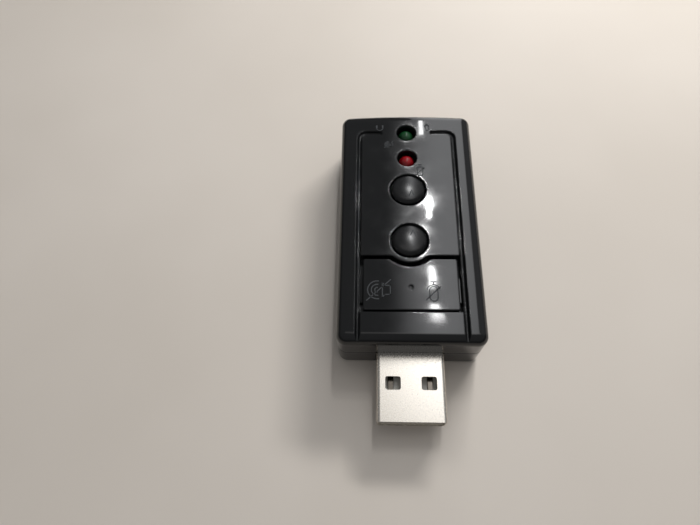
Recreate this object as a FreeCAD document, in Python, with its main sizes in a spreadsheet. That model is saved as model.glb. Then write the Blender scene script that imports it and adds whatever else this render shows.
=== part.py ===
import FreeCAD, Part
import Sketcher
import math
import os

# A USB sound card: a stick-sized moulded case with a USB-A plug at the front (-Y), two 3.5 mm jacks at the
# rear (+Y), two round volume buttons, a rocking mute plate and two LEDs on the roof.
# Millimetres. +X right, +Y from plug to jacks, +Z up, origin under the middle of the whole length.

DRIVING_SIZES = {
    # moulded case
    "case_width": 26.2,
    "case_length": 49.0,
    "case_height": 12.4,
    "parting_height": 6.2,
    "rear_bow": 0.5,
    "corner_radius": 1.8,
    "top_edge_radius": 1.8,
    "bottom_bevel": 0.7,
    "wall": 1.5,
    "roof": 1.4,
    "base_floor": 1.4,
    "lip_height": 0.8,
    "lip_thickness": 0.65,
    "lip_gap": 0.1,
    "post_side": 2.0,
    "post_x": 10.2,
    "post_front": 15.5,
    "post_rear": 32.8,
    "rim_bevel": 0.2,
    "seam_bevel": 0.12,
    # groove that frames the control panel
    "groove_reach": 9.87,
    "groove_width": 1.0,
    "groove_depth": 0.6,
    "groove_setback": 4.4,
    "groove_corner": 1.9,
    "groove_end": 4.8,
    "groove_slope": 32.0,
    # USB-A plug
    "plug_width": 12.0,
    "plug_thickness": 4.5,
    "plug_reach": 12.0,
    "plug_inside": 5.6,
    "plug_bottom": 2.05,
    "plug_sheet": 0.3,
    "plug_corner": 0.6,
    "plug_gap": 0.1,
    "window_width": 2.7,
    "window_length": 2.35,
    "window_offset": 3.15,
    "window_back": 5.45,
    "window_corner": 0.4,
    "tongue_thickness": 1.85,
    "tongue_setback": 0.5,
    "cavity_depth": 10.4,
    "insulator_gap": 0.05,
    "tab_length": 2.0,
    "tab_height": 1.6,
    "contact_width": 1.0,
    "contact_thickness": 0.25,
    "contact_inner": 1.0,
    "contact_outer": 3.5,
    "contact_foot": 1.2,
    # circuit board
    "board_thickness": 1.2,
    "board_top": 4.9,
    "board_width": 22.6,
    "board_rear": 46.4,
    # round volume buttons
    "volume_up_place": 19.45,
    "volume_down_place": 30.4,
    "button_hole_radius": 3.45,
    "button_radius": 3.2,
    "button_proud": 0.8,
    "button_crown": 12.0,
    "button_bevel": 0.55,
    "button_skirt": 9.9,
    "button_stem": 2.2,
    "ear_reach": 4.3,
    "ear_width": 2.0,
    "ear_bottom": 10.2,
    "ear_gap": 0.05,
    # mute rocker in its bay
    "plate_half": 8.47,
    "plate_front": 5.87,
    "plate_rear": 15.7,
    "plate_thickness": 1.3,
    "plate_notch": 5.25,
    "plate_blend": 1.0,
    "plate_corner": 0.4,
    "plate_bevel": 0.15,
    "dimple_radius": 0.4,
    "dimple_depth": 0.35,
    "bay_half": 9.1,
    "bay_front": 5.63,
    "bay_rear": 16.35,
    "bay_bump": 4.45,
    "bay_blend": 1.6,
    "bay_bevel": 0.15,
    "bay_floor": 10.0,
    "tray_half": 10.4,
    "tray_front": 4.0,
    "tray_rear": 17.6,
    "tray_bottom": 9.2,
    "catch_reach": 9.7,
    "catch_top": 11.2,
    "tab_reach": 9.4,
    "tab_bottom": 10.45,
    "tab_top": 10.82,
    "tab_half_length": 2.4,
    "pivot_height": 10.5,
    "pivot_radius": 0.8,
    "pivot_play": 0.05,
    "pivot_half_length": 3.2,
    "keel_half_width": 1.9,
    "keel_bottom": 10.4,
    "rocker_middle": 10.2,
    "foot_place": 6.0,
    "foot_side": 2.2,
    "foot_bevel": 0.6,
    "foot_gap": 0.04,
    "foot_hole_side": 3.6,
    # tact switches
    "switch_side": 6.0,
    "switch_body": 3.2,
    "switch_well_side": 3.8,
    "switch_well_depth": 1.8,
    "switch_sheet": 0.3,
    "plunger_side": 3.4,
    "plunger_top": 9.2,
    "plunger_length": 2.4,
    "leg_length": 0.9,
    "leg_width": 0.7,
    "leg_thickness": 0.2,
    "leg_spread": 2.25,
    # LEDs
    "green_led_place": 44.0,
    "red_led_place": 37.8,
    "led_hole_radius": 1.85,
    "led_radius": 1.5,
    "led_dome": 1.6,
    "led_base": 6.4,
    "led_recess": 0.45,
    "led_lead": 0.5,
    "led_lead_spread": 1.27,
    "led_lead_tail": 1.0,
    # 3.5 mm jacks
    "jack_place": 6.0,
    "jack_axis": 7.5,
    "jack_width": 6.0,
    "jack_height": 5.2,
    "jack_front": 35.0,
    "jack_shoulder": 47.0,
    "jack_nose_radius": 3.0,
    "jack_nose_end": 48.7,
    "jack_hole_radius": 3.1,
    "jack_bore_radius": 1.8,
    "jack_bore_depth": 12.2,
    "jack_mouth": 0.4,
    "spring_length": 3.2,
    "spring_thickness": 0.25,
    "spring_slot": 1.2,
    "spring_start": 2.56,
    "spring_pitch": 4.48,
    # parts on the board
    "chip_side": 7.0,
    "chip_thickness": 1.4,
    "chip_place": 23.5,
    "chip_standoff": 0.1,
    "chip_lead_length": 1.0,
    "chip_lead_width": 0.35,
    "chip_lead_pitch": 0.8,
    "chip_lead_thickness": 0.3,
    "crystal_length": 10.2,
    "crystal_width": 3.8,
    "crystal_height": 3.5,
    "crystal_flange": 0.4,
    "crystal_rim": 0.42,
    "crystal_x": 8.0,
    "crystal_place": 24.5,
    "can_radius": 2.0,
    "can_height": 5.0,
    "can_base": 0.6,
    "can_base_side": 4.3,
    "can_x": 8.0,
    "can_place": 23.0,
    "can_spacing": 5.6,
    "chip_part_length": 1.6,
    "chip_part_width": 0.8,
    "chip_part_height": 0.7,
    "chip_part_pitch": 2.4,
}

CHIP_LEADS_PER_SIDE = 7

doc = FreeCAD.newDocument("usb_sound_card")
sheet = doc.addObject("Spreadsheet::Sheet", "Sizes")
nodes = []


class Size:
    """A length with its value in millimetres and the sheet formula that drives it."""

    def __init__(self, value, formula):
        self.value = value
        self.formula = formula

    def combine(self, sign, other, value):
        return Size(value, f"({self.formula} {sign} {other.formula})")

    def __add__(self, other):
        other = as_size(other)
        return self.combine("+", other, self.value + other.value)

    def __sub__(self, other):
        other = as_size(other)
        return self.combine("-", other, self.value - other.value)

    def __mul__(self, other):
        other = as_size(other)
        return self.combine("*", other, self.value * other.value)

    def __truediv__(self, other):
        other = as_size(other)
        return self.combine("/", other, self.value / other.value)

    def __neg__(self):
        return as_size(0) - self

    def root(self):
        return Size(math.sqrt(self.value), f"sqrt({self.formula})")


def as_size(number):
    return number if isinstance(number, Size) else Size(float(number), f"({float(number)})")


def fill_sheet():
    for row, (alias, value) in enumerate(DRIVING_SIZES.items(), 1):
        sheet.set(f"A{row}", alias.replace("_", " "))
        sheet.set(f"B{row}", str(value))
        sheet.setAlias(f"B{row}", alias)
    doc.recompute()


def size(alias):
    return Size(sheet.get(alias), f"Sizes.{alias}")


def bind(item, name, length):
    item.setExpression(name, as_size(length).formula)


def keep(item, node):
    """Name a finished sub-part; the name is its file's name too."""
    item.Label = node
    nodes.append(item)
    return item


# Sketches and features


def new_body(name):
    return doc.addObject("PartDesign::Body", name)


def sketch_on(body, plane, height=0):
    """A sketch on a plane of the body's own origin, moved along that plane's normal."""
    sketch = body.newObject("Sketcher::SketchObject", "sketch")
    support = next(item for item in body.Origin.OriginFeatures if item.Role == plane)
    sketch.AttachmentSupport = [(support, "")]
    sketch.MapMode = "FlatFace"
    bind(sketch, "AttachmentOffset.Base.z", height)
    return sketch


def limit(sketch, kind, targets, length):
    """Add one dimension to a sketch and drive it from the sheet."""
    number = sketch.addConstraint(Sketcher.Constraint(kind, *targets, length.value))
    sketch.setExpression(f"Constraints[{number}]", length.formula)


def pin(sketch, element, end, x, y):
    limit(sketch, "DistanceX", (-1, 1, element, end), as_size(x))
    limit(sketch, "DistanceY", (-1, 1, element, end), as_size(y))


def draw_circle(sketch, x, y, radius):
    centre = FreeCAD.Vector(as_size(x).value, as_size(y).value, 0)
    element = sketch.addGeometry(Part.Circle(centre, FreeCAD.Vector(0, 0, 1), radius.value), False)
    pin(sketch, element, 3, x, y)
    limit(sketch, "Radius", (element,), radius)


def arc_between(start, end, radius):
    """The shorter arc from start to end, with its centre to the left for a positive radius, else right."""
    chord = end - start
    left = FreeCAD.Vector(-chord.y, chord.x, 0).normalize()
    rise = math.sqrt(max(radius * radius - chord.Length ** 2 / 4, 0))
    centre = (start + end) * 0.5 + left * math.copysign(rise, radius)
    first, last = (start, end) if radius > 0 else (end, start)
    angles = [math.atan2(point.y - centre.y, point.x - centre.x) for point in (first, last)]
    if angles[1] < angles[0]:
        angles[1] += 2 * math.pi
    circle = Part.Circle(centre, FreeCAD.Vector(0, 0, 1), abs(radius))
    return Part.ArcOfCircle(circle, angles[0], angles[1])


def draw_outline(sketch, corners):
    """A closed outline. A corner is (x, y), or (x, y, radius) where an arc leads to it."""
    corners = [[as_size(part) for part in corner] for corner in corners]
    elements = []
    for number, corner in enumerate(corners):
        before = corners[number - 1]
        start = FreeCAD.Vector(before[0].value, before[1].value, 0)
        end = FreeCAD.Vector(corner[0].value, corner[1].value, 0)
        if len(corner) == 2:
            elements.append((sketch.addGeometry(Part.LineSegment(start, end), False), 1, 2))
            continue
        radius = corner[2]
        element = sketch.addGeometry(arc_between(start, end, radius.value), False)
        elements.append((element, 1, 2) if radius.value > 0 else (element, 2, 1))
        limit(sketch, "Radius", (element,), radius if radius.value > 0 else -radius)
    for number, (element, _, end) in enumerate(elements):
        following = elements[(number + 1) % len(elements)]
        sketch.addConstraint(Sketcher.Constraint("Coincident", element, end, following[0], following[1]))
        pin(sketch, element, end, corners[number][0], corners[number][1])


def draw_box(sketch, left, low, right, high):
    draw_outline(sketch, [(left, low), (right, low), (right, high), (left, high)])


def draw_rounded_box(sketch, left, low, right, high, bend):
    draw_outline(sketch, [
        (right - bend, low),
        (right, low + bend, bend),
        (right, high - bend),
        (right - bend, high, bend),
        (left + bend, high),
        (left, high - bend, bend),
        (left, low + bend),
        (left + bend, low, bend),
    ])


def add_feature(body, kind, sketch, length, reverse, symmetric):
    feature = body.newObject(f"PartDesign::{kind}", kind.lower())
    feature.Profile = sketch
    feature.Reversed = reverse
    if symmetric:
        feature.SideType = "Symmetric"
    bind(feature, "Length", length)
    doc.recompute()
    return feature


def pad(body, sketch, length, reverse=False, symmetric=False):
    return add_feature(body, "Pad", sketch, length, reverse, symmetric)


def pocket(body, sketch, length, reverse=False, symmetric=False):
    """Cut the body, and stop if the cut has missed it."""
    before = body.Shape.Volume
    feature = add_feature(body, "Pocket", sketch, length, reverse, symmetric)
    if body.Shape.Volume > before - 1e-4:
        raise RuntimeError(f"{body.Name}: a pocket removes nothing")
    return feature


def dress_edges(body, kind, property_name, length, chosen):
    """Dress the edges of the body's last feature that the test picks."""
    base = body.Tip
    names = [f"Edge{n}" for n, edge in enumerate(base.Shape.Edges, 1) if chosen(edge)]
    feature = body.newObject(f"PartDesign::{kind}", kind.lower())
    feature.Base = (base, names)
    bind(feature, property_name, length)
    doc.recompute()


def round_edges(body, radius, chosen):
    dress_edges(body, "Fillet", "Radius", radius, chosen)


def bevel_edges(body, width, chosen):
    dress_edges(body, "Chamfer", "Size", width, chosen)


def revolve(body, sketch):
    feature = body.newObject("PartDesign::Revolution", "revolution")
    feature.Profile = sketch
    feature.ReferenceAxis = (sketch, ["V_Axis"])
    feature.Angle = 360
    doc.recompute()
    return feature


def is_upright(edge):
    box = edge.BoundBox
    return box.XLength < 1e-6 and box.YLength < 1e-6


def is_upright_at(reach):
    """Picks the upright edges this far out to either side."""
    def test(edge):
        return is_upright(edge) and abs(abs(edge.BoundBox.XMin) - reach.value) < 1e-6
    return test


def is_at_height(height):
    def test(edge):
        box = edge.BoundBox
        return abs(box.ZMin - height.value) < 1e-6 and abs(box.ZMax - height.value) < 1e-6
    return test


def is_lengthwise_away_from(height):
    """Picks the straight edges along Y that are not at one height."""
    def test(edge):
        box = edge.BoundBox
        return box.XLength < 1e-6 and box.ZLength < 1e-6 and abs(box.ZMin - height.value) > 1e-6
    return test


def is_bay_edge(edge):
    """Picks the rocker bay's front and rear edges on the roof."""
    box = edge.BoundBox
    past_front = box.YMin > (FRONT + size("bay_front")).value - 1e-3
    before_rear = box.YMax < (FRONT + size("bay_rear")).value + 1e-3
    return is_at_height(TOP)(edge) and past_front and before_rear and box.XLength > 1e-3


def is_rim(height, radii):
    """Picks the full circles of the given radii at one height."""
    level = is_at_height(height)
    widths = [radius.value * 2 for radius in radii]

    def test(edge):
        box = edge.BoundBox
        is_round = abs(box.XLength - box.YLength) < 1e-4
        return level(edge) and is_round and any(abs(box.XLength - width) < 1e-4 for width in widths)
    return test


# Plain solids


def place(item, x, y, z):
    for axis, length in zip("xyz", (x, y, z)):
        bind(item, f"Placement.Base.{axis}", length)
    return item


def block(x, y, z, length, width, height):
    """A box centred on x and y, standing on z."""
    item = doc.addObject("Part::Box", "block")
    length, width = as_size(length), as_size(width)
    for name, value in (("Length", length), ("Width", width), ("Height", height)):
        bind(item, name, value)
    return place(item, as_size(x) - length / 2, as_size(y) - width / 2, z)


def rod(x, y, z, radius, height, along_y=False):
    """An upright cylinder, or one that runs from y towards +Y."""
    item = doc.addObject("Part::Cylinder", "rod")
    bind(item, "Radius", radius)
    bind(item, "Height", height)
    if along_y:
        item.Placement = FreeCAD.Placement(FreeCAD.Vector(), FreeCAD.Rotation(FreeCAD.Vector(1, 0, 0), -90))
    return place(item, x, y, z)


def flare(x, y, z, start_radius, end_radius, length):
    """A cone that widens towards +Y."""
    item = doc.addObject("Part::Cone", "flare")
    bind(item, "Radius1", start_radius)
    bind(item, "Radius2", end_radius)
    bind(item, "Height", length)
    item.Placement = FreeCAD.Placement(FreeCAD.Vector(), FreeCAD.Rotation(FreeCAD.Vector(1, 0, 0), -90))
    return place(item, x, y, z)


def cut(base, tool):
    item = doc.addObject("Part::Cut", "cut")
    item.Base = base
    item.Tool = tool
    return item


def fuse(items):
    item = doc.addObject("Part::MultiFuse", "fuse")
    item.Shapes = items
    return item


def group(items):
    item = doc.addObject("Part::Compound", "group")
    item.Links = items
    return item


# Case halves

fill_sheet()
FRONT = (size("plug_reach") - size("case_length")) / 2
REAR = FRONT + size("case_length")
HALF_WIDTH = size("case_width") / 2
TOP = size("case_height")
PARTING = size("parting_height")
ROOF_UNDER = TOP - size("roof")
BOARD_TOP = size("board_top")
BOARD_UNDER = BOARD_TOP - size("board_thickness")
PLUG_TOP = size("plug_bottom") + size("plug_thickness")
ROCKER_Y = FRONT + size("rocker_middle")
VOLUME_UP_Y = FRONT + size("volume_up_place")
VOLUME_DOWN_Y = FRONT + size("volume_down_place")
LED_PLACES = {"green": FRONT + size("green_led_place"), "red": FRONT + size("red_led_place")}
JACK_SIDES = {"headphone": -1, "microphone": 1}
POST_ROWS = [FRONT + size(row) for row in ("post_front", "post_rear")]
POSTS = [(size("post_x") * side, row) for side in (-1, 1) for row in POST_ROWS]


def draw_case_outline(sketch, inset):
    """The case's plan, moved in from its outer face: three straight sides and a bowed rear."""
    half = HALF_WIDTH - inset
    bow = size("rear_bow")
    rear = REAR - inset
    bow_radius = (half * half + bow * bow) / (bow * 2)
    draw_outline(sketch, [
        (-half, FRONT + inset),
        (half, FRONT + inset),
        (half, rear - bow),
        (-half, rear - bow, bow_radius),
    ])


def draw_jack_holes(sketch):
    for side in JACK_SIDES.values():
        draw_circle(sketch, size("jack_place") * side, size("jack_axis"), size("jack_hole_radius"))


def draw_bay(sketch, half, front, rear, arc, blend):
    """The rocker's outline: a rectangle whose rear edge sweeps into a dip round the front volume button."""
    reach = VOLUME_UP_Y - rear + blend
    spread = arc + blend
    start = (spread * spread - reach * reach).root()
    share = arc / spread
    dip_x = start * share
    dip_y = VOLUME_UP_Y - reach * share
    draw_outline(sketch, [
        (-half, front),
        (half, front),
        (half, rear),
        (start, rear),
        (dip_x, dip_y, blend),
        (-dip_x, dip_y, -arc),
        (-start, rear, blend),
        (-half, rear),
    ])


def draw_posts(sketch):
    half = size("post_side") / 2
    for x, y in POSTS:
        draw_box(sketch, x - half, y - half, x + half, y + half)


def cut_openings_in_walls(body, plug_low, plug_high):
    """The plug's slot in the front wall and the jacks' round holes in the rear wall."""
    slot = sketch_on(body, "XZ_Plane", -FRONT)
    half = size("plug_width") / 2 + size("plug_gap")
    draw_box(slot, -half, plug_low, half, plug_high)
    pocket(body, slot, size("wall"))
    holes = sketch_on(body, "XZ_Plane", -REAR)
    draw_jack_holes(holes)
    pocket(body, holes, size("wall") + size("rear_bow") * 2, reverse=True)


def cut_groove(body):
    """The groove frame, with sloping walls: two legs that run out over the front edge, then turn inwards."""
    outer = size("groove_reach")
    width = size("groove_width")
    bend = size("groove_corner")
    rear = REAR - size("groove_setback")
    inner_bend = bend - width
    run_end = size("groove_end")
    legs = sketch_on(body, "XY_Plane", TOP)
    for side in (1, -1):
        draw_outline(legs, [
            (outer * side, FRONT),
            (outer * side, rear - bend),
            ((outer - bend) * side, rear, bend * side),
            (run_end * side, rear),
            (run_end * side, rear - width),
            ((outer - bend) * side, rear - width),
            ((outer - width) * side, rear - bend, inner_bend * -side),
            ((outer - width) * side, FRONT),
        ])
    groove = pocket(body, legs, size("groove_depth"))
    bind(groove, "TaperAngle", -size("groove_slope"))
    doc.recompute()


def cut_roof_holes(body):
    holes = sketch_on(body, "XY_Plane", TOP)
    for y in LED_PLACES.values():
        draw_circle(holes, 0, y, size("led_hole_radius"))
    for y in (VOLUME_UP_Y, VOLUME_DOWN_Y):
        draw_circle(holes, 0, y, size("button_hole_radius"))
    pocket(body, holes, TOP - size("tray_bottom"))
    radii = (size("led_hole_radius"), size("button_hole_radius"))
    bevel_edges(body, size("rim_bevel"), is_rim(TOP, radii))


def draw_foot_squares(sketch, side_length):
    """A square under each half of the rocker."""
    half = side_length / 2
    for side in (-1, 1):
        x = size("foot_place") * side
        draw_box(sketch, x - half, ROCKER_Y - half, x + half, ROCKER_Y + half)


def cut_rocker_bay(body):
    """The mute plate's sunk bay, catches under its sides, foot holes in its floor and the pivot ridge."""
    bay = sketch_on(body, "XY_Plane", TOP)
    front = FRONT + size("bay_front")
    draw_bay(bay, size("bay_half"), front, FRONT + size("bay_rear"), size("bay_bump"), size("bay_blend"))
    pocket(body, bay, TOP - size("bay_floor"))
    catches = sketch_on(body, "YZ_Plane")
    reach = size("tab_half_length") + size("lip_gap") * 2
    draw_box(catches, ROCKER_Y - reach, size("bay_floor"), ROCKER_Y + reach, size("catch_top"))
    pocket(body, catches, size("catch_reach") * 2, symmetric=True)
    holes = sketch_on(body, "XY_Plane", size("bay_floor"))
    draw_foot_squares(holes, size("foot_hole_side"))
    pocket(body, holes, size("bay_floor") - size("tray_bottom"))
    stem = sketch_on(body, "XZ_Plane", -ROCKER_Y)
    radius = size("pivot_radius")
    draw_box(stem, -radius, size("bay_floor"), radius, size("pivot_height"))
    pad(body, stem, size("pivot_half_length") * 2, symmetric=True)
    ridge = sketch_on(body, "XZ_Plane", -ROCKER_Y)
    draw_circle(ridge, 0, size("pivot_height"), radius)
    pad(body, ridge, size("pivot_half_length") * 2, symmetric=True)


def make_upper_case():
    body = new_body("upper_case")
    outline = sketch_on(body, "XY_Plane", PARTING)
    draw_case_outline(outline, as_size(0))
    pad(body, outline, TOP - PARTING)
    round_edges(body, size("corner_radius"), is_upright)
    round_edges(body, size("top_edge_radius"), is_at_height(TOP))
    bevel_edges(body, size("seam_bevel"), is_at_height(PARTING))
    hollow = sketch_on(body, "XY_Plane", PARTING)
    draw_case_outline(hollow, size("wall"))
    pocket(body, hollow, ROOF_UNDER - PARTING, reverse=True)
    rebate = sketch_on(body, "XY_Plane", PARTING)
    draw_case_outline(rebate, size("wall") - size("lip_thickness") - size("lip_gap"))
    pocket(body, rebate, size("lip_height") + size("lip_gap"), reverse=True)
    tray = sketch_on(body, "XY_Plane", size("tray_bottom"))
    half = size("tray_half")
    draw_box(tray, -half, FRONT + size("tray_front"), half, FRONT + size("tray_rear"))
    pad(body, tray, ROOF_UNDER - size("tray_bottom"))
    posts = sketch_on(body, "XY_Plane", BOARD_TOP)
    draw_posts(posts)
    pad(body, posts, ROOF_UNDER - BOARD_TOP)
    cut_rocker_bay(body)
    cut_groove(body)
    bevel_edges(body, size("bay_bevel"), is_bay_edge)
    cut_roof_holes(body)
    cut_openings_in_walls(body, PARTING, PLUG_TOP + size("plug_gap"))
    keep(body, "upper_case")


def make_lower_case():
    body = new_body("lower_case")
    outline = sketch_on(body, "XY_Plane")
    draw_case_outline(outline, as_size(0))
    pad(body, outline, PARTING)
    round_edges(body, size("corner_radius"), is_upright)
    bevel_edges(body, size("bottom_bevel"), is_at_height(as_size(0)))
    bevel_edges(body, size("seam_bevel"), is_at_height(PARTING))
    hollow = sketch_on(body, "XY_Plane", PARTING)
    draw_case_outline(hollow, size("wall"))
    pocket(body, hollow, PARTING - size("base_floor"))
    lip = sketch_on(body, "XY_Plane", PARTING)
    draw_case_outline(lip, size("wall") - size("lip_thickness"))
    draw_case_outline(lip, size("wall"))
    pad(body, lip, size("lip_height"))
    cradle = sketch_on(body, "XY_Plane", size("base_floor"))
    half = size("plug_width") / 2 - size("plug_corner")
    inner = FRONT + size("plug_inside")
    draw_box(cradle, -half, FRONT + size("wall"), half, inner)
    pad(body, cradle, size("plug_bottom") - size("base_floor"))
    posts = sketch_on(body, "XY_Plane", size("base_floor"))
    draw_posts(posts)
    pad(body, posts, BOARD_UNDER - size("base_floor"))
    lip_top = PARTING + size("lip_height")
    cut_openings_in_walls(body, size("plug_bottom"), lip_top)
    keep(body, "lower_case")


# Buttons and rocker


def make_volume_button(name, y):
    """A domed cap with a stem that meets the switch, and two ears that hold it under the roof."""
    body = new_body(name)
    radius = size("button_radius")
    crown = size("button_crown")
    apex = TOP + size("button_proud")
    bevel = size("button_bevel")
    rim = radius - bevel
    rim_top = apex - crown + (crown * crown - rim * rim).root()
    section = sketch_on(body, "XZ_Plane")
    draw_outline(section, [
        (0, size("button_skirt")),
        (radius, size("button_skirt")),
        (radius, rim_top - bevel),
        (rim, rim_top),
        (0, apex, crown),
    ])
    revolve(body, section)
    stem = sketch_on(body, "XY_Plane", size("plunger_top"))
    stem_half = size("button_stem") / 2
    draw_box(stem, -stem_half, -stem_half, stem_half, stem_half)
    pad(body, stem, size("ear_bottom") - size("plunger_top"))
    ears = sketch_on(body, "XY_Plane", size("ear_bottom"))
    half = size("ear_width") / 2
    for side in (-1, 1):
        draw_box(ears, stem_half * side, -half, size("ear_reach") * side, half)
    pad(body, ears, ROOF_UNDER - size("ear_gap") - size("ear_bottom"))
    bind(body, "Placement.Base.y", y)
    keep(body, name)


def make_mute_rocker():
    """The plate, its keel over the pivot ridge, a foot for each switch and a tab under each side catch."""
    body = new_body("mute_rocker")
    under = TOP - size("plate_thickness")
    front = FRONT + size("plate_front")
    rear = FRONT + size("plate_rear")
    plate = sketch_on(body, "XY_Plane", under)
    draw_bay(plate, size("plate_half"), front, rear, size("plate_notch"), size("plate_blend"))
    pad(body, plate, size("plate_thickness"))
    round_edges(body, size("plate_corner"), is_upright_at(size("plate_half")))
    bevel_edges(body, size("plate_bevel"), is_at_height(TOP))
    keel = sketch_on(body, "XY_Plane", size("keel_bottom"))
    length = size("pivot_half_length") - size("lip_gap") * 2
    keel_half = size("keel_half_width")
    draw_box(keel, -keel_half, ROCKER_Y - length, keel_half, ROCKER_Y + length)
    pad(body, keel, under - size("keel_bottom"))
    play = size("pivot_radius") + size("pivot_play")
    for shape in ("slot", "seat"):
        relief = sketch_on(body, "XZ_Plane", -ROCKER_Y)
        if shape == "slot":
            draw_box(relief, -play, size("keel_bottom"), play, size("pivot_height"))
        else:
            draw_circle(relief, 0, size("pivot_height"), play)
        pocket(body, relief, (size("pivot_half_length") + size("lip_gap")) * 2, symmetric=True)
    skirt = sketch_on(body, "XY_Plane", size("tab_bottom"))
    for side in (-1, 1):
        outer = size("plate_half") * side
        inner = (size("plate_half") - size("plate_thickness")) * side
        draw_box(skirt, inner, ROCKER_Y - size("tab_half_length"), outer, ROCKER_Y + size("tab_half_length"))
    pad(body, skirt, under - size("tab_bottom"))
    tabs = sketch_on(body, "XY_Plane", size("tab_bottom"))
    for side in (-1, 1):
        inner = (size("plate_half") - size("plate_thickness")) * side
        outer = size("tab_reach") * side
        draw_box(tabs, inner, ROCKER_Y - size("tab_half_length"), outer, ROCKER_Y + size("tab_half_length"))
    pad(body, tabs, size("tab_top") - size("tab_bottom"))
    foot_bottom = size("plunger_top") + size("foot_gap")
    feet = sketch_on(body, "XY_Plane", foot_bottom)
    draw_foot_squares(feet, size("foot_side"))
    pad(body, feet, under - foot_bottom)
    bevel_edges(body, size("foot_bevel"), is_at_height(foot_bottom))
    dimple = sketch_on(body, "XY_Plane", TOP)
    draw_circle(dimple, 0, ROCKER_Y, size("dimple_radius"))
    pocket(body, dimple, size("dimple_depth"))
    keep(body, "mute_rocker")


# USB plug


def make_usb_shell():
    """A folded sheet tube with two latch windows in its top, two slots below and solder tabs behind."""
    body = new_body("usb_shell")
    half = size("plug_width") / 2
    low = size("plug_bottom")
    sheet_metal = size("plug_sheet")
    tip = FRONT - size("plug_reach")
    length = size("plug_reach") + size("plug_inside")
    bend = size("plug_corner")
    outside = sketch_on(body, "XZ_Plane", -tip)
    draw_rounded_box(outside, -half, low, half, PLUG_TOP, bend)
    pad(body, outside, length, reverse=True)
    inside = sketch_on(body, "XZ_Plane", -tip)
    inner = half - sheet_metal
    draw_rounded_box(inside, -inner, low + sheet_metal, inner, PLUG_TOP - sheet_metal, bend - sheet_metal)
    pocket(body, inside, length)
    windows = sketch_on(body, "XY_Plane", PLUG_TOP)
    middle = FRONT - size("window_back")
    across = size("window_width") / 2
    along = size("window_length") / 2
    for side in (-1, 1):
        x = size("window_offset") * side
        corner = size("window_corner")
        draw_rounded_box(windows, x - across, middle - along, x + across, middle + along, corner)
    pocket(body, windows, sheet_metal)
    slots = sketch_on(body, "XY_Plane", low + sheet_metal)
    for side in (-1, 1):
        x = size("window_offset") * side
        draw_box(slots, x - across, middle - along, x + across, middle + along)
    pocket(body, slots, sheet_metal)
    tabs = sketch_on(body, "XZ_Plane", -(FRONT + size("plug_inside")))
    for side in (-1, 1):
        draw_box(tabs, inner * side, BOARD_TOP - size("tab_height"), half * side, BOARD_TOP)
    pad(body, tabs, size("tab_length"), reverse=True)
    keep(body, "usb_shell")


def make_usb_insulator():
    """The plug's tongue and the block behind it, with a slot for each contact."""
    body = new_body("usb_insulator")
    low = size("plug_bottom") + size("plug_sheet")
    tongue_top = low + size("tongue_thickness")
    tip = FRONT - size("plug_reach")
    rear = FRONT + size("plug_inside")
    profile = sketch_on(body, "YZ_Plane")
    block_front = tip + size("cavity_depth")
    block_top = PLUG_TOP - size("plug_sheet") - size("insulator_gap")
    draw_outline(profile, [
        (tip + size("tongue_setback"), low),
        (rear, low),
        (rear, block_top),
        (block_front, block_top),
        (block_front, tongue_top),
        (tip + size("tongue_setback"), tongue_top),
    ])
    width = size("plug_width") - (size("plug_sheet") + size("insulator_gap")) * 2
    pad(body, profile, width, symmetric=True)
    round_edges(body, size("plug_corner") - size("plug_sheet"), is_lengthwise_away_from(tongue_top))
    slots = sketch_on(body, "XZ_Plane", -rear)
    half = size("contact_width") / 2
    for x in contact_places().values():
        draw_box(slots, x - half, tongue_top, x + half, tongue_top + size("contact_thickness"))
    pocket(body, slots, rear - block_front, reverse=True)
    keep(body, "usb_insulator")


def contact_places():
    return {
        "power": size("contact_outer") * -1,
        "data_minus": size("contact_inner") * -1,
        "data_plus": size("contact_inner"),
        "ground": size("contact_outer"),
    }


def make_usb_contacts():
    """Flat strips that lie on the tongue, pass through the block and step up on to the board."""
    tongue_top = size("plug_bottom") + size("plug_sheet") + size("tongue_thickness")
    thick = size("contact_thickness")
    start = FRONT - size("plug_reach") + size("tongue_setback") * 2
    rear = FRONT + size("plug_inside")
    for name, x in contact_places().items():
        body = new_body(f"usb_contact_{name}")
        strip = sketch_on(body, "YZ_Plane")
        draw_outline(strip, [
            (start, tongue_top),
            (rear + thick, tongue_top),
            (rear + thick, BOARD_TOP),
            (rear + thick + size("contact_foot"), BOARD_TOP),
            (rear + thick + size("contact_foot"), BOARD_TOP + thick),
            (rear, BOARD_TOP + thick),
            (rear, tongue_top + thick),
            (start, tongue_top + thick),
        ])
        pad(body, strip, size("contact_width"), symmetric=True)
        bind(body, "Placement.Base.x", x)
        keep(body, f"usb_contact_{name}")


# Board and what stands on it


def make_circuit_board():
    body = new_body("circuit_board")
    half = size("board_width") / 2
    front = FRONT + size("plug_inside") + size("contact_thickness")
    outline = sketch_on(body, "XY_Plane", BOARD_UNDER)
    draw_box(outline, -half, front, half, FRONT + size("board_rear"))
    pad(body, outline, size("board_thickness"))
    openings = sketch_on(body, "XY_Plane", BOARD_TOP)
    tab_end = FRONT + size("plug_inside") + size("tab_length")
    for side in (-1, 1):
        outer = size("plug_width") / 2 * side
        draw_box(openings, outer - size("plug_sheet") * side, front, outer, tab_end)
    lead = size("led_lead") / 2
    for y in LED_PLACES.values():
        for side in (-1, 1):
            x = size("led_lead_spread") * side
            draw_box(openings, x - lead, y - lead, x + lead, y + lead)
    pocket(body, openings, size("board_thickness"))
    keep(body, "circuit_board")


def switch_places():
    return {
        "volume_up": (as_size(0), VOLUME_UP_Y),
        "volume_down": (as_size(0), VOLUME_DOWN_Y),
        "speaker_mute": (size("foot_place") * -1, ROCKER_Y),
        "microphone_mute": (size("foot_place"), ROCKER_Y),
    }


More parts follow.
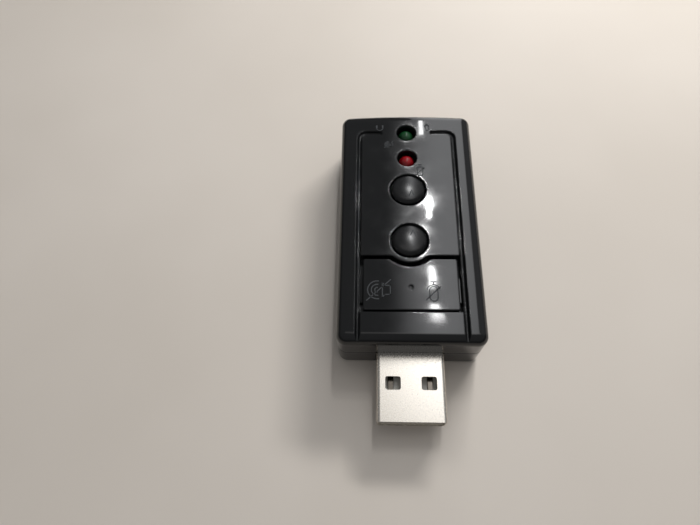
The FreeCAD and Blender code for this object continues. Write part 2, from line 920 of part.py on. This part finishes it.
def make_switches():
    """Four tact switches: a base with a square well, a sheet cover, a plunger, and feet on the board."""
    side = size("switch_side")
    body_top = BOARD_TOP + size("switch_body")
    well = size("switch_well_side")
    thick = size("plunger_side")
    legs = []
    for name, (x, y) in switch_places().items():
        hole = block(x, y, body_top - size("switch_well_depth"), well, well, size("switch_well_depth"))
        keep(cut(block(x, y, BOARD_TOP, side, side, size("switch_body")), hole), f"{name}_switch_base")
        opening = block(x, y, body_top, well, well, size("switch_sheet"))
        cover = block(x, y, body_top, side, side, size("switch_sheet"))
        keep(cut(cover, opening), f"{name}_switch_cover")
        bottom = size("plunger_top") - size("plunger_length")
        plunger = block(x, y, bottom, thick, thick, size("plunger_length"))
        keep(plunger, f"{name}_switch_plunger")
        reach = (side + size("leg_length")) / 2
        for row in (-1, 1):
            for end in (-1, 1):
                leg_x = x + reach * end
                leg_y = y + size("leg_spread") * row
                legs.append(block(
                    leg_x, leg_y, BOARD_TOP, size("leg_length"), size("leg_width"), size("leg_thickness")))
    keep(group(legs), "switch_legs")


def make_leds():
    """A domed round lens on two square leads that go through the board."""
    for colour, y in LED_PLACES.items():
        body = new_body(f"{colour}_led")
        base = size("led_base")
        radius = size("led_radius")
        dome = size("led_dome")
        apex = TOP - size("led_recess")
        drop = dome - (dome * dome - radius * radius).root()
        section = sketch_on(body, "XZ_Plane")
        draw_outline(section, [
            (0, base),
            (radius, base),
            (radius, apex - drop),
            (0, apex, dome),
        ])
        revolve(body, section)
        bind(body, "Placement.Base.y", y)
        keep(body, f"{colour}_led")
        tail = BOARD_UNDER - size("led_lead_tail")
        lead = size("led_lead")
        leads = [block(size("led_lead_spread") * end, y, tail, lead, lead, base - tail) for end in (-1, 1)]
        keep(group(leads), f"{colour}_led_leads")


def make_jacks():
    """Two jacks: a housing with a round nose and a blind bore, and three contact springs in side slots."""
    nose_end = FRONT + size("jack_nose_end")
    shoulder = FRONT + size("jack_shoulder")
    back = FRONT + size("jack_front")
    axis = size("jack_axis")
    bore = size("jack_bore_radius")
    for name, side in JACK_SIDES.items():
        x = size("jack_place") * side
        length = shoulder - back
        housing = block(x, back + length / 2, BOARD_TOP, size("jack_width"), length, size("jack_height"))
        nose = rod(x, shoulder, axis, size("jack_nose_radius"), nose_end - shoulder, along_y=True)
        depth = size("jack_bore_depth")
        hole = rod(x, nose_end - depth, axis, bore, depth, along_y=True)
        mouth_length = size("jack_mouth")
        mouth = flare(x, nose_end - mouth_length, axis, bore, bore + mouth_length, mouth_length)
        jack = cut(cut(fuse([housing, nose]), hole), mouth)
        springs = []
        slot = size("spring_slot")
        slot_length = size("spring_length") + size("lip_gap") * 2
        wall = size("jack_width") / 2
        for number, reach in enumerate((1, -1)):
            y = nose_end - depth + size("spring_start") + size("spring_pitch") * number
            cutter = block(x + wall / 2 * reach, y, axis - slot / 2, wall, slot_length, slot)
            jack = cut(jack, cutter)
            strip_x = x + (bore + size("lip_gap") + size("spring_thickness") / 2) * reach
            springs.append(block(
                strip_x, y, axis - slot / 2, size("spring_thickness"), size("spring_length"), slot))
        keep(jack, f"{name}_jack_housing")
        keep(group(springs), f"{name}_jack_springs")


def make_audio_chip():
    """A flat square package under the board with a row of leads along each side."""
    y = FRONT + size("chip_place")
    side = size("chip_side")
    top = BOARD_UNDER - size("chip_standoff")
    thick = size("chip_thickness")
    keep(block(0, y, top - thick, side, side, thick), "audio_chip")
    middle = FreeCAD.Vector(0, y.value, 0)
    lead_size = [size(f"chip_lead_{part}").value for part in ("length", "width", "thickness")]
    leads = []
    for turn in range(4):
        for number in range(CHIP_LEADS_PER_SIDE):
            across = (number - (CHIP_LEADS_PER_SIDE - 1) / 2) * size("chip_lead_pitch").value
            low = BOARD_UNDER.value - lead_size[2]
            corner = FreeCAD.Vector(side.value / 2, across - lead_size[1] / 2, low)
            lead = Part.makeBox(*lead_size, corner)
            lead.rotate(FreeCAD.Vector(), FreeCAD.Vector(0, 0, 1), turn * 90)
            leads.append(lead)
    item = doc.addObject("Part::Feature", "chip_leads")
    item.Shape = Part.makeCompound(leads)
    item.Placement = FreeCAD.Placement(middle, FreeCAD.Rotation())
    keep(item, "audio_chip_leads")


def make_crystal():
    """A pressed can with round ends on a flanged base."""
    body = new_body("crystal")
    rim = size("crystal_rim")
    top = size("crystal_height")
    flange = size("crystal_flange")
    for grow, low, high in ((rim, as_size(0), flange), (as_size(0), flange, top)):
        half = size("crystal_width") / 2 + grow
        straight = (size("crystal_length") - size("crystal_width")) / 2
        outline = sketch_on(body, "XY_Plane", low)
        draw_outline(outline, [
            (half, straight),
            (0, straight + half, half),
            (-half, straight, half),
            (-half, -straight),
            (0, -straight - half, half),
            (half, -straight, half),
        ])
        pad(body, outline, high - low)
    place(body, size("crystal_x"), FRONT + size("crystal_place"), BOARD_TOP)
    keep(body, "crystal")


def make_capacitors():
    for number in range(2):
        x = size("can_x") * -1
        y = FRONT + size("can_place") + size("can_spacing") * number
        base_side = size("can_base_side")
        base = block(x, y, BOARD_TOP, base_side, base_side, size("can_base"))
        can = rod(x, y, BOARD_TOP + size("can_base"), size("can_radius"), size("can_height"))
        keep(fuse([base, can]), f"supply_capacitor_{number + 1}")


def make_chip_parts():
    """Rows of small chip capacitors on the board's top and chip resistors beside the audio chip."""
    length = size("chip_part_length")
    width = size("chip_part_width")
    height = size("chip_part_height")
    capacitors = []
    for number in range(3):
        x = size("led_lead_spread") * (number - 1) * 2
        y = VOLUME_UP_Y + size("switch_side")
        capacitors.append(block(x, y, BOARD_TOP, width, length, height))
    keep(group(capacitors), "chip_capacitors")
    resistors = []
    for side in (-1, 1):
        for number in range(3):
            y = FRONT + size("chip_place") + size("chip_part_pitch") * (number - 1)
            resistors.append(block(size("chip_side") * side, y, BOARD_UNDER - height, length, width, height))
    keep(group(resistors), "chip_resistors")


def check_and_write():
    doc.recompute()
    for item in doc.Objects:
        if {"Invalid", "Error"} & set(item.State):
            raise RuntimeError(f"{item.Label} failed: {item.State}")
    for item in nodes:
        if item.Shape.isNull() or not item.Shape.isValid():
            raise RuntimeError(f"{item.Label} has no valid shape")
    os.makedirs("parts", exist_ok=True)
    for item in nodes:
        item.Shape.exportStep(f"parts/{item.Label}.step")


make_upper_case()
make_lower_case()
make_volume_button("volume_up_button", VOLUME_UP_Y)
make_volume_button("volume_down_button", VOLUME_DOWN_Y)
make_mute_rocker()
make_usb_shell()
make_usb_insulator()
make_usb_contacts()
make_circuit_board()
make_switches()
make_leds()
make_jacks()
make_audio_chip()
make_crystal()
make_capacitors()
make_chip_parts()
check_and_write()
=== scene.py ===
import math

import bmesh
import bpy
from mathutils import Matrix, Vector


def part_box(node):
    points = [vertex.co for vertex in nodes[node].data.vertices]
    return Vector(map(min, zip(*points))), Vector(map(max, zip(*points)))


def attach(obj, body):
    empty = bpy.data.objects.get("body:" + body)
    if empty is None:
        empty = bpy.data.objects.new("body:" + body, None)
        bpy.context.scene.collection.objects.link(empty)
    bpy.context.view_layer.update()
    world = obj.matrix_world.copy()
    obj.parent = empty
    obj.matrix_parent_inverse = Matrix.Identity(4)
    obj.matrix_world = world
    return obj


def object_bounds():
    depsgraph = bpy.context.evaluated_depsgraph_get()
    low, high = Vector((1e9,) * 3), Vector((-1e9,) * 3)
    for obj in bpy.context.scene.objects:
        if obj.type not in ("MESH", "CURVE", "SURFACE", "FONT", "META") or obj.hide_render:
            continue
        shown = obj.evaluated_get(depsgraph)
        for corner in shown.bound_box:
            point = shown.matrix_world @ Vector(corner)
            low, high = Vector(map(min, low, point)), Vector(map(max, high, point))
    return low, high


# A USB sound card lying on a pale table, seen from above its plug.
# Everything is in metres in the frame's own axes; MM turns millimetres into metres.

MM = 0.001

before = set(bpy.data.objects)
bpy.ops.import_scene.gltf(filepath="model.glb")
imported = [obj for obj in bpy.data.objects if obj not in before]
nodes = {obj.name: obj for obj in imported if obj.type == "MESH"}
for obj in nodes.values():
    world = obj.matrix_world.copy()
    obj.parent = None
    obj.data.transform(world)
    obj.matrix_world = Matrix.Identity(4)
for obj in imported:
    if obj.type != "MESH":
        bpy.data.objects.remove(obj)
cad_low, cad_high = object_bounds()

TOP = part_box("upper_case")[1].z


# Material tools

SOCKETS = {
    "ior": "IOR",
    "metallic": "Metallic",
    "roughness": "Roughness",
    "transmission_weight": "Transmission Weight",
}


def linear(hex_colour):
    """An sRGB hex colour as linear RGBA."""
    parts = [int(hex_colour[start:start + 2], 16) / 255 for start in (1, 3, 5)]
    return [part / 12.92 if part <= 0.04045 else ((part + 0.055) / 1.055) ** 2.4 for part in parts] + [1.0]


def add(tree, kind, inputs=None, **settings):
    """Add one node with its settings; an input is given a value or another node's output."""
    node = tree.nodes.new(kind)
    for name, value in settings.items():
        setattr(node, name, value)
    for name, value in (inputs or {}).items():
        if isinstance(value, bpy.types.NodeSocket):
            tree.links.new(value, node.inputs[name])
        else:
            node.inputs[name].default_value = value
    return node


def new_material(name, **sockets):
    """A material with one principled shader, whose fixed values are set on its own sockets."""
    material = bpy.data.materials.new(name)
    material.use_nodes = True
    tree = material.node_tree
    tree.nodes.clear()
    values = {SOCKETS[key]: value for key, value in sockets.items()}
    shader = add(tree, "ShaderNodeBsdfPrincipled", values)
    add(tree, "ShaderNodeOutputMaterial", {"Surface": shader.outputs["BSDF"]})
    place = add(tree, "ShaderNodeTexCoord").outputs["Object"]
    return material, tree, shader, place


def per(length_mm):
    """The scale of a texture whose features are about this many millimetres across."""
    return 1 / (length_mm * MM)


# Materials


def gloss_abs():
    """Black ABS from a polished mould: a sharp mirror bent by sink waves, with wiped haze and dust."""
    wave_size, wave_depth = 7.0, 0.022
    haze_size, dust_size, edge_radius = 4.0, 0.55, 0.32
    material, tree, shader, place = new_material("moulded_gloss_abs", ior=1.54)
    waves = add(tree, "ShaderNodeTexNoise", {"Vector": place, "Scale": per(wave_size), "Detail": 1.0})
    haze = add(tree, "ShaderNodeTexNoise", {"Vector": place, "Scale": per(haze_size), "Detail": 4.0})
    rough = add(tree, "ShaderNodeMapRange", {
        "Value": haze.outputs["Fac"], "From Min": 0.35, "From Max": 0.7, "To Min": 0.03, "To Max": 0.08})
    dust = add(tree, "ShaderNodeTexVoronoi", {"Vector": place, "Scale": per(dust_size)})
    speck = add(tree, "ShaderNodeMapRange", {
        "Value": dust.outputs["Distance"], "From Min": 0.03, "From Max": 0.07, "To Min": 0.25, "To Max": 0.0})
    colour = add(tree, "ShaderNodeMix", {
        "Factor": speck.outputs["Result"], "A": linear("#0c0d0e"), "B": linear("#4a4b4c")}, data_type="RGBA")
    edges = add(tree, "ShaderNodeBevel", {"Radius": edge_radius * MM}, samples=6)
    bump = add(tree, "ShaderNodeBump", {
        "Height": waves.outputs["Fac"], "Strength": 1.0, "Distance": wave_depth * MM,
        "Normal": edges.outputs["Normal"]})
    tree.links.new(colour.outputs["Result"], shader.inputs["Base Color"])
    tree.links.new(rough.outputs["Result"], shader.inputs["Roughness"])
    tree.links.new(bump.outputs["Normal"], shader.inputs["Normal"])
    return material


def grained(name, light, dark, grain_size, grain_depth, smooth, coarse, edge_radius=0.0, **sockets):
    """A finish with fine grain: colour and roughness drift between two values, and the grain stands up."""
    material, tree, shader, place = new_material(name, **sockets)
    grain = add(tree, "ShaderNodeTexNoise", {"Vector": place, "Scale": per(grain_size), "Detail": 3.0})
    colour = add(tree, "ShaderNodeMix", {
        "Factor": grain.outputs["Fac"], "A": linear(dark), "B": linear(light)}, data_type="RGBA")
    rough = add(tree, "ShaderNodeMapRange", {
        "Value": grain.outputs["Fac"], "From Min": 0.3, "From Max": 0.7, "To Min": smooth, "To Max": coarse})
    bump = add(tree, "ShaderNodeBump", {
        "Height": grain.outputs["Fac"], "Strength": 1.0, "Distance": grain_depth * MM})
    if edge_radius:
        edges = add(tree, "ShaderNodeBevel", {"Radius": edge_radius * MM}, samples=6)
        tree.links.new(edges.outputs["Normal"], bump.inputs["Normal"])
    tree.links.new(colour.outputs["Result"], shader.inputs["Base Color"])
    tree.links.new(rough.outputs["Result"], shader.inputs["Roughness"])
    tree.links.new(bump.outputs["Normal"], shader.inputs["Normal"])
    return material


def tinted_epoxy(name, colour, deep):
    """The cast epoxy of a coloured LED: clear enough to glow at its lit side, its colour clouded at random
    between a bright and a deep tone.
    """
    cloud_size = 1.2
    material, tree, shader, place = new_material(
        name, roughness=0.08, ior=1.52, transmission_weight=0.35)
    cloud = add(tree, "ShaderNodeTexNoise", {"Vector": place, "Scale": per(cloud_size), "Detail": 2.0})
    mix = add(tree, "ShaderNodeMix", {
        "Factor": cloud.outputs["Fac"], "A": linear(deep), "B": linear(colour)}, data_type="RGBA")
    tree.links.new(mix.outputs["Result"], shader.inputs["Base Color"])
    return material


FINISHES = {
    "black_gloss_case": gloss_abs(),
    # ABS from a finely sparked mould, which spreads a highlight
    "black_satin_button": grained(
        "sparked_satin_abs", "#0d0e0f", "#090a0b", 0.3, 0.0006, 0.19, 0.25, edge_radius=0.7, ior=1.54),
    # steel sheet with bright nickel plating, dulled by handling and fine pits
    "nickel_plated_shell": grained(
        "nickel_plated_steel", "#f0ebe3", "#dcd5ca", 0.3, 0.00015, 0.21, 0.29, metallic=1.0),
    # unfilled PBT, moulded
    "white_insulator": grained("white_pbt", "#e9e7e1", "#dcdad3", 0.8, 0.002, 0.4, 0.5, ior=1.55),
    # contact metal in a dark grey well below its plated tone: painted shade for the shadowed inside of the
    # plug windows, over a real fine grain
    "gold_plated_contact": grained(
        "contact_metal_painted_shade", "#77716a", "#5c5750", 0.6, 0.001, 0.12, 0.2, edge_radius=0.25, metallic=1.0),
    # glass laminate under a green solder mask
    "green_board": grained("solder_mask_laminate", "#1d5b33", "#123f22", 0.7, 0.002, 0.3, 0.4, ior=1.5),
    "black_switch": grained("glass_filled_nylon", "#1d1d1e", "#121213", 0.4, 0.004, 0.5, 0.6, ior=1.53),
    "tinned_steel": grained("tinned_steel", "#c9c9c6", "#aaaaa8", 0.5, 0.002, 0.3, 0.4, metallic=1.0),
    "chip_epoxy": grained("mould_compound", "#202122", "#161718", 0.2, 0.004, 0.6, 0.7, ior=1.55),
    "can_aluminium": grained("drawn_aluminium", "#c4c6c8", "#b0b2b4", 0.7, 0.002, 0.28, 0.36, metallic=1.0),
    "chip_ceramic": grained("fired_ceramic", "#8a6f55", "#75593f", 0.3, 0.003, 0.5, 0.6, ior=1.6),
    "green_lens": tinted_epoxy("green_led_epoxy", "#1c5a30", "#0e331a"),
    "red_lens": tinted_epoxy("red_led_epoxy", "#c01822", "#6a0a12"),
    # coloured polypropylene collars of the jacks
    "green_jack": grained("lime_polypropylene", "#7fb24a", "#6f9f3e", 0.6, 0.003, 0.4, 0.5, ior=1.49),
    "pink_jack": grained("pink_polypropylene", "#e08aa0", "#cf7890", 0.6, 0.003, 0.4, 0.5, ior=1.49),
}
# pad-printed grey ink: thin and dead matt, so it looks pale on the dark plastic and dark across a reflection
PRINT = grained("matt_pad_print", "#4a4c4e", "#404244", 0.3, 0.001, 0.8, 0.95, ior=1.4)

for node in nodes.values():
    node.data.materials[0] = FINISHES[node.data.materials[0].name]


# Piece tools


def finish_piece(mesh, name, material, body):
    """Turn a bmesh into an object that rides on a body."""
    bmesh.ops.recalc_face_normals(mesh, faces=mesh.faces)
    data = bpy.data.meshes.new(name)
    mesh.to_mesh(data)
    mesh.free()
    data.materials.append(material)
    piece = bpy.data.objects.new(name, data)
    bpy.context.scene.collection.objects.link(piece)
    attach(piece, body)


# Pictograms: strokes of ink a few hundredths of a millimetre thick

INK = 0.03 * MM
# the middle of the ink stands this share of its thickness above the roof, so its underside is sunk
LIFT = 0.1
# stroke widths in millimetres
FINE, BOLD = 0.15, 0.2
# a curved stroke has a step about every so many degrees
STEP_ANGLE = 12


def bar(mesh, start, end, width):
    """A straight stroke between two points given in millimetres, squared off half a width past each."""
    start, end = Vector(start) * MM, Vector(end) * MM
    run = end - start
    middle = (start + end) / 2
    turn = Matrix.Rotation(math.atan2(run.y, run.x), 4, "Z")
    stretch = Matrix.Diagonal((run.length + width * MM, width * MM, INK, 1))
    bmesh.ops.create_cube(mesh, size=1, matrix=Matrix.Translation((*middle, 0)) @ turn @ stretch)


def bow(mesh, middle, radius, start, sweep, width):
    """A curved stroke: an upright square spun about the middle from one angle through another, in degrees."""
    steps = round(sweep / STEP_ANGLE)
    square = bmesh.ops.create_circle(mesh, segments=4, radius=math.sqrt(0.5))["verts"]
    stand = Matrix.Rotation(math.radians(90), 4, "X") @ Matrix.Rotation(math.radians(45), 4, "Z")
    stretch = Matrix.Diagonal((width * MM, 1, INK, 1))
    centre = Vector((*middle, 0)) * MM
    turn = Matrix.Rotation(math.radians(start), 4, "Z")
    place = Matrix.Translation(centre) @ turn @ Matrix.Translation((radius * MM, 0, 0)) @ stretch @ stand
    bmesh.ops.transform(mesh, matrix=place, verts=square)
    edges = list(dict.fromkeys(edge for vert in square for edge in vert.link_edges))
    bmesh.ops.spin(
        mesh, geom=square + edges, cent=centre, axis=(0, 0, 1), angle=math.radians(sweep), steps=steps)
    bmesh.ops.holes_fill(mesh, edges=[edge for edge in mesh.edges if edge.is_boundary])


def lay_on_roof(mesh):
    """Raise flat strokes to the roof."""
    bmesh.ops.translate(mesh, vec=(0, 0, TOP + INK * LIFT), verts=mesh.verts)


def crossed_speaker(mesh, x, y, scale, width):
    """A loudspeaker with three sound waves, crossed out; it reads with the plug end up."""
    def at(across, along):
        return x + across * scale, y + along * scale
    mouth, throat, back = 0.9, 1.3, 2.3
    box_half, mouth_half = 0.85, 1.45
    wave_radii, wave_start, wave_sweep = (0.45, 1.05, 1.7), 80, 200
    cross_left, cross_right, cross_half = -1.85, 2.35, 1.95
    for side in (-1, 1):
        bar(mesh, at(back, box_half * side), at(throat, box_half * side), width)
        bar(mesh, at(throat, box_half * side), at(mouth, mouth_half * side), width)
    bar(mesh, at(back, -box_half), at(back, box_half), width)
    bar(mesh, at(mouth, -mouth_half), at(mouth, mouth_half), width)
    for radius in wave_radii:
        bow(mesh, at(0, 0), radius * scale, wave_start, wave_sweep, width)
    bar(mesh, at(cross_left, -cross_half), at(cross_right, cross_half), width)


def microphone(mesh, x, y, scale, width, crossed):
    """A microphone capsule in its holder on a stand, crossed out if asked; it reads with the plug end up."""
    def at(across, along):
        return x + across * scale, y + along * scale
    half, straight, capsule_shift = 0.75, 0.7, 0.4
    capsule_low, capsule_high = -straight - capsule_shift, straight - capsule_shift
    holder_radius, holder_shift, holder_start, holder_sweep = 1.2, 0.5, 10, 160
    stem_start, stem_end, foot, foot_half = 0.75, 1.25, 1.3, 0.45
    cross_start, cross_end = (-1.4, -1.55), (1.25, 1.0)
    for side in (-1, 1):
        bar(mesh, at(half * side, capsule_low), at(half * side, capsule_high), width)
    bow(mesh, at(0, capsule_high), half * scale, 0, 180, width)
    bow(mesh, at(0, capsule_low), half * scale, 180, 180, width)
    bow(mesh, at(0, straight - holder_shift), holder_radius * scale, holder_start, holder_sweep, width)
    bar(mesh, at(0, straight + stem_start), at(0, straight + stem_end), width)
    bar(mesh, at(-foot_half, straight + foot), at(foot_half, straight + foot), width)
    if crossed:
        bar(mesh, at(*cross_start), at(*cross_end), width)


def headphones(mesh, x, y, scale, width):
    """A headband with two ear cups; it reads with the plug end up."""
    cup_length, cup_widths = 0.9, 2
    bow(mesh, (x, y), scale, 180, 180, width)
    for side in (-1, 1):
        bar(mesh, (x + scale * side, y), (x + scale * side, y + scale * cup_length), width * cup_widths)


def make_pictograms():
    """The two crossed signs on the mute rocker, and the small signs beside the lights and jacks."""
    mutes = bmesh.new()
    crossed_speaker(mutes, -5.95, -8.9, 1.0, BOLD)
    microphone(mutes, 3.95, -9.2, 0.95, BOLD, True)
    lay_on_roof(mutes)
    finish_piece(mutes, "mute_pictograms", PRINT, "mute")
    lights = bmesh.new()
    headphones(lights, -5.35, 26.7, 0.6, FINE)
    microphone(lights, 4.2, 26.9, 0.42, FINE, False)
    crossed_speaker(lights, -3.65, 22.6, 0.4, FINE)
    microphone(lights, 2.5, 16.3, 0.68, FINE, True)
    lay_on_roof(lights)
    finish_piece(lights, "panel_pictograms", PRINT, "case")


def make_button_marks():
    """A chevron printed on each button, laid on the dome of its crown."""
    crown = 12 * MM
    across, along = 0.6, 1.2
    half_width, half_length = 0.45, 0.55
    for body, end in (("volume_up", 1), ("volume_down", -1)):
        low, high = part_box(f"{body}_button")
        middle = (low + high) / (2 * MM)
        marks = bmesh.new()
        x, y = middle.x + across, middle.y + along * end
        for side in (-1, 1):
            bar(marks, (x + half_width * side, y - half_length), (x, y + half_length), FINE)
        bmesh.ops.subdivide_edges(marks, edges=marks.edges, cuts=3, use_grid_fill=True)
        for vert in marks.verts:
            reach = (vert.co.xy - middle.xy * MM).length
            vert.co.z += high.z - crown + math.sqrt(crown ** 2 - reach ** 2)
        finish_piece(marks, f"{body}_mark", PRINT, body)


make_pictograms()
make_button_marks()


# Table, light and camera


def make_table():
    """A pale warm laminate top, smooth enough for a faint reflection."""
    half_size, cloud_size = 2.0, 70.0
    mesh = bmesh.new()
    bmesh.ops.create_grid(mesh, x_segments=1, y_segments=1, size=half_size)
    bmesh.ops.translate(mesh, vec=(0, 0, cad_low.z), verts=mesh.verts)
    data = bpy.data.meshes.new("table")
    mesh.to_mesh(data)
    mesh.free()
    data.materials.append(
        grained("pale_laminate", "#e2dad1", "#cbc2b7", cloud_size, 0.0, 0.42, 0.55, ior=1.5))
    table = bpy.data.objects.new("table", data)
    bpy.context.scene.collection.objects.link(table)


def area_light(name, place, aim, size, radiance, colour):
    """A rectangular lamp that shines at a point; its power follows from how bright its face looks."""
    data = bpy.data.lights.new(name, "AREA")
    data.shape = "RECTANGLE"
    data.size, data.size_y = size
    data.energy = radiance * math.pi * size[0] * size[1]
    data.color = linear(colour)[:3]
    lamp = bpy.data.objects.new(name, data)
    lamp.location = place
    lamp.rotation_euler = (Vector(aim) - Vector(place)).to_track_quat("-Z", "Y").to_euler()
    bpy.context.scene.collection.objects.link(lamp)
    return lamp


def make_lamps():
    """A broken row of tubes, a low window behind at the right, a weak bounce, and a pale ceiling panel.

    Some tubes streak the roof. The mirror images of the others fall on the buttons and LED holes
    and light them.
    """
    height = 1.212
    # x, y, width, length, radiance
    tubes = (
        (0.172, 0.417, 0.024, 0.040, 32.0),
        (0.162, 0.514, 0.016, 0.056, 48.0),
        (0.133, 0.618, 0.012, 0.070, 300.0),
        (0.160, 0.728, 0.009, 0.070, 210.0),
        (0.133, 0.780, 0.012, 0.070, 300.0),
        (0.110, 0.892, 0.008, 0.022, 110.0),
        (0.110, 0.984, 0.008, 0.022, 110.0),
        (0.151, 1.008, 0.014, 0.050, 24.0))
    for number, (x, y, width, length, radiance) in enumerate(tubes):
        area_light(f"tube_{number + 1}", (x, y, height), (x, y, 0), (width, length), radiance, "#ffffff")
    window = area_light(
        "window", place=(0.10, 0.20, 0.16), aim=(0, 0, 0), size=(0.12, 0.03), radiance=46.0, colour="#fffefc")
    bounce = area_light(
        "bounce", place=(0.3, -0.2, 1.0), aim=(0, 0, 0), size=(1.2, 1.2), radiance=0.1, colour="#fff8f0")
    for lamp in (window, bounce):
        lamp.visible_glossy = False
    area_light(
        "ceiling_panel", place=(0.15, 0.19, 1.2), aim=(0.15, 0.19, 0), size=(0.90, 0.22), radiance=0.54,
        colour="#fffcf8")


def make_world():
    """A dim room whose ceiling has a bright band at the right, fading out towards the plug end."""
    world = bpy.data.worlds.new("room")
    world.use_nodes = True
    tree = world.node_tree
    tree.nodes.clear()
    way = add(tree, "ShaderNodeSeparateXYZ", {"Vector": add(tree, "ShaderNodeTexCoord").outputs["Generated"]})
    low = add(tree, "ShaderNodeMapRange", {
        "Value": way.outputs["Z"], "From Min": 0.0, "From Max": 0.6, "To Min": 0.08, "To Max": 0.25},
        interpolation_type="SMOOTHSTEP")
    rise = add(tree, "ShaderNodeMapRange", {
        "Value": way.outputs["X"], "From Min": 0.03, "From Max": 0.13}, interpolation_type="SMOOTHSTEP")
    fall = add(tree, "ShaderNodeMapRange", {
        "Value": way.outputs["X"], "From Min": 0.15, "From Max": 0.3, "To Min": 2.6, "To Max": 0.16},
        interpolation_type="SMOOTHSTEP")
    depth = add(tree, "ShaderNodeMapRange", {
        "Value": way.outputs["Y"], "From Min": -0.02, "From Max": 0.34}, interpolation_type="SMOOTHSTEP")
    glow = add(
        tree, "ShaderNodeMath", {0: rise.outputs["Result"], 1: fall.outputs["Result"]}, operation="MULTIPLY")
    total = add(
        tree, "ShaderNodeMath",
        {0: glow.outputs["Value"], 1: depth.outputs["Result"], 2: low.outputs["Result"]},
        operation="MULTIPLY_ADD")
    sky = add(tree, "ShaderNodeBackground", {"Color": linear("#f8f9fb"), "Strength": total.outputs["Value"]})
    add(tree, "ShaderNodeOutputWorld", {"Surface": sky.outputs["Background"]})
    bpy.context.scene.world = world


def make_camera():
    """The photograph's place and lens: above the plug end, tilted down, with a little roll."""
    data = bpy.data.cameras.new("camera")
    data.sensor_width = 36.0
    data.lens = 27.13
    data.clip_start = 0.005
    place = (-0.00763, -0.04378, 0.09870)
    camera = bpy.data.objects.new("camera", data)
    pitch, roll, yaw = (math.radians(angle) for angle in (64.98, 3.86, -4.59))
    ahead = Vector((math.sin(yaw) * math.cos(pitch), math.cos(yaw) * math.cos(pitch), -math.sin(pitch)))
    level = Vector((math.cos(yaw), -math.sin(yaw), 0))
    down = ahead.cross(level)
    right = level * math.cos(roll) + down * math.sin(roll)
    up = level * math.sin(roll) - down * math.cos(roll)
    turn = Matrix((right, up, -ahead)).transposed().to_4x4()
    camera.matrix_world = Matrix.Translation(place) @ turn
    bpy.context.scene.collection.objects.link(camera)
    bpy.context.scene.camera = camera


make_table()
make_lamps()
make_world()
make_camera()
bpy.context.scene.view_settings.view_transform = "Standard"
